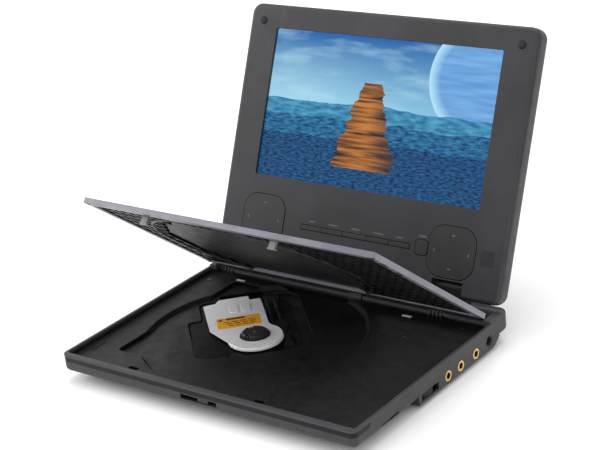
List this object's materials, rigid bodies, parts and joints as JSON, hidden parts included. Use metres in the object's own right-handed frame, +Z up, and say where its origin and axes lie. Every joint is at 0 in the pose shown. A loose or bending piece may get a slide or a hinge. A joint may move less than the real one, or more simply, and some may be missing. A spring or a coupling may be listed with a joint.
{
  "type": "portable disc player",
  "caption": "Clamshell disc player: a tilting flat screen with keys over a thin case, whose hinged cover lifts off a round disc well with turntable and pickup mechanism.",
  "frame": {"origin": "bottom centre of the box round the player as it stands open, on the plane its feet rest on", "axes": "+X to the right of a viewer facing the screen, +Y from the front edge back to the screen, +Z up"},
  "size_m": [0.198, 0.2098, 0.1614],
  "materials": {
    "case_plastic": "satin moulded charcoal",
    "deck_plastic": "fine matte texture",
    "cover_plastic": "satin",
    "bezel_plastic": "satin, softly rounded",
    "key_plastic": "satin",
    "gloss_black": "polished",
    "mechanism_plastic": "matte",
    "smoked_lens": "smoked, polished",
    "black_rubber": "matte",
    "dark_steel": "blackened",
    "steel": "ground",
    "bright_sheet": "light silver, satin",
    "gold_plate": "gold plated",
    "label_orange": "printed film",
    "battery_wrap": "shrink wrap",
    "circuit_board": "solder mask",
    "lens_glass": "polished",
    "display_face": "display polariser"
  },
  "bodies": {
    "case": {"bottom_case": "case_plastic", "top_case": "deck_plastic", "front_trim": "gloss_black", "rubber_feet": "black_rubber", "base_screws": "dark_steel", "deck_screws": "dark_steel", "battery_pack": "battery_wrap", "main_board": "circuit_board", "jack_bodies": "mechanism_plastic", "jack_rings": "gold_plate", "dc_socket": "mechanism_plastic", "dc_pin": "steel", "volume_post": "mechanism_plastic", "charge_lamp": "smoked_lens", "traverse_cover": "deck_plastic", "traverse_chassis": "dark_steel", "dampers": "black_rubber", "guide_rails": "steel", "spindle_motor": "steel", "sled_motor": "steel", "pickup_guard": "bright_sheet", "guard_label": "label_orange", "hinge_knuckles": "deck_plastic", "cover_rod": "steel", "cover_springs": "steel", "cover_switch": "mechanism_plastic", "hinge_towers": "case_plastic"},
    "platter": {"turntable": "mechanism_plastic", "turntable_pad": "black_rubber", "spindle_shaft": "steel"},
    "sled": {"pickup_body": "mechanism_plastic", "pickup_lens": "lens_glass"},
    "feed_screw": {"lead_screw": "steel"},
    "volume_dial": {"volume_wheel": "mechanism_plastic"},
    "power_switch": {"power_slider": "case_plastic"},
    "open_latch": {"open_knob": "case_plastic", "latch_bar": "mechanism_plastic"},
    "cover": {"cover_panel": "cover_plastic", "cover_hooks": "cover_plastic"},
    "screen": {"bezel": "bezel_plastic", "back_shell": "case_plastic", "screen_screws": "dark_steel", "lcd_glass": "display_face", "lcd_module": "steel", "display_board": "circuit_board", "key_board": "circuit_board", "ir_window": "smoked_lens", "bumpers": "black_rubber", "speakers": "mechanism_plastic", "hinge_brackets": "dark_steel", "hinge_pins": "steel"},
    "press_pad_left": {"key_pad_left": "key_plastic"},
    "press_pad_right": {"key_pad_right": "key_plastic"},
    "press_square": {"key_square": "key_plastic"},
    "press_strip_1": {"key_strip_1": "key_plastic"},
    "press_strip_2": {"key_strip_2": "key_plastic"},
    "press_strip_3": {"key_strip_3": "key_plastic"},
    "press_strip_4": {"key_strip_4": "key_plastic"},
    "press_strip_5": {"key_strip_5": "key_plastic"}
  },
  "joints": [
    {"name": "screen_fold", "type": "hinge", "parent": "case", "child": "screen", "pos_m": [0, 0.04144, 0.02583], "axis": [-1, 0, 0], "range_deg": [-114.2, 20.8]},
    {"name": "cover_lift", "type": "hinge", "parent": "case", "child": "cover", "pos_m": [0, 0.03061, 0.013], "axis": [-1, 0, 0], "range_deg": [-38.4, 7.1]},
    {"name": "platter_spin", "type": "hinge", "parent": "case", "child": "platter", "pos_m": [-0.0193, -0.03279, 0.015], "axis": [0, 0, 1], "continuous": true},
    {"name": "sled_travel", "type": "slide", "parent": "case", "child": "sled", "axis": [-0.7071, 0.7071, 0], "range_m": [0, 0.034]},
    {"name": "feed_screw_turn", "type": "hinge", "parent": "case", "child": "feed_screw", "pos_m": [-0.00693, -0.02041, 0.006], "axis": [-0.7071, 0.7071, 0], "range_deg": [0, 4081]},
    {"name": "volume_turn", "type": "hinge", "parent": "case", "child": "volume_dial", "pos_m": [0.0911, -0.03759, 0.006], "axis": [0, 0, 1], "range_deg": [-135, 135]},
    {"name": "power_slide", "type": "slide", "parent": "case", "child": "power_switch", "axis": [0, 1, 0], "range_m": [0, 0.0065]},
    {"name": "open_slide", "type": "slide", "parent": "case", "child": "open_latch", "axis": [1, 0, 0], "range_m": [0, 0.0045], "stiffness_N_per_m": 200},
    {"name": "pad_left_press", "type": "slide", "parent": "screen", "child": "press_pad_left", "axis": [0, 0.9118, -0.4106], "range_m": [0, 0.0004], "stiffness_N_per_m": 2000},
    {"name": "pad_right_press", "type": "slide", "parent": "screen", "child": "press_pad_right", "axis": [0, 0.9118, -0.4106], "range_m": [0, 0.0004], "stiffness_N_per_m": 2000},
    {"name": "square_press", "type": "slide", "parent": "screen", "child": "press_square", "axis": [0, 0.9118, -0.4106], "range_m": [0, 0.0004], "stiffness_N_per_m": 2000},
    {"name": "strip_1_press", "type": "slide", "parent": "screen", "child": "press_strip_1", "axis": [0, 0.9118, -0.4106], "range_m": [0, 0.0004], "stiffness_N_per_m": 2000},
    {"name": "strip_2_press", "type": "slide", "parent": "screen", "child": "press_strip_2", "axis": [0, 0.9118, -0.4106], "range_m": [0, 0.0004], "stiffness_N_per_m": 2000},
    {"name": "strip_3_press", "type": "slide", "parent": "screen", "child": "press_strip_3", "axis": [0, 0.9118, -0.4106], "range_m": [0, 0.0004], "stiffness_N_per_m": 2000},
    {"name": "strip_4_press", "type": "slide", "parent": "screen", "child": "press_strip_4", "axis": [0, 0.9118, -0.4106], "range_m": [0, 0.0004], "stiffness_N_per_m": 2000},
    {"name": "strip_5_press", "type": "slide", "parent": "screen", "child": "press_strip_5", "axis": [0, 0.9118, -0.4106], "range_m": [0, 0.0004], "stiffness_N_per_m": 2000}
  ],
  "couplings": [
    {"joint": "cover_lift", "follows": "screen_fold", "ratio": 0.33538},
    {"joint": "feed_screw_turn", "follows": "sled_travel", "rad_per_m": 2094.4}
  ]
}
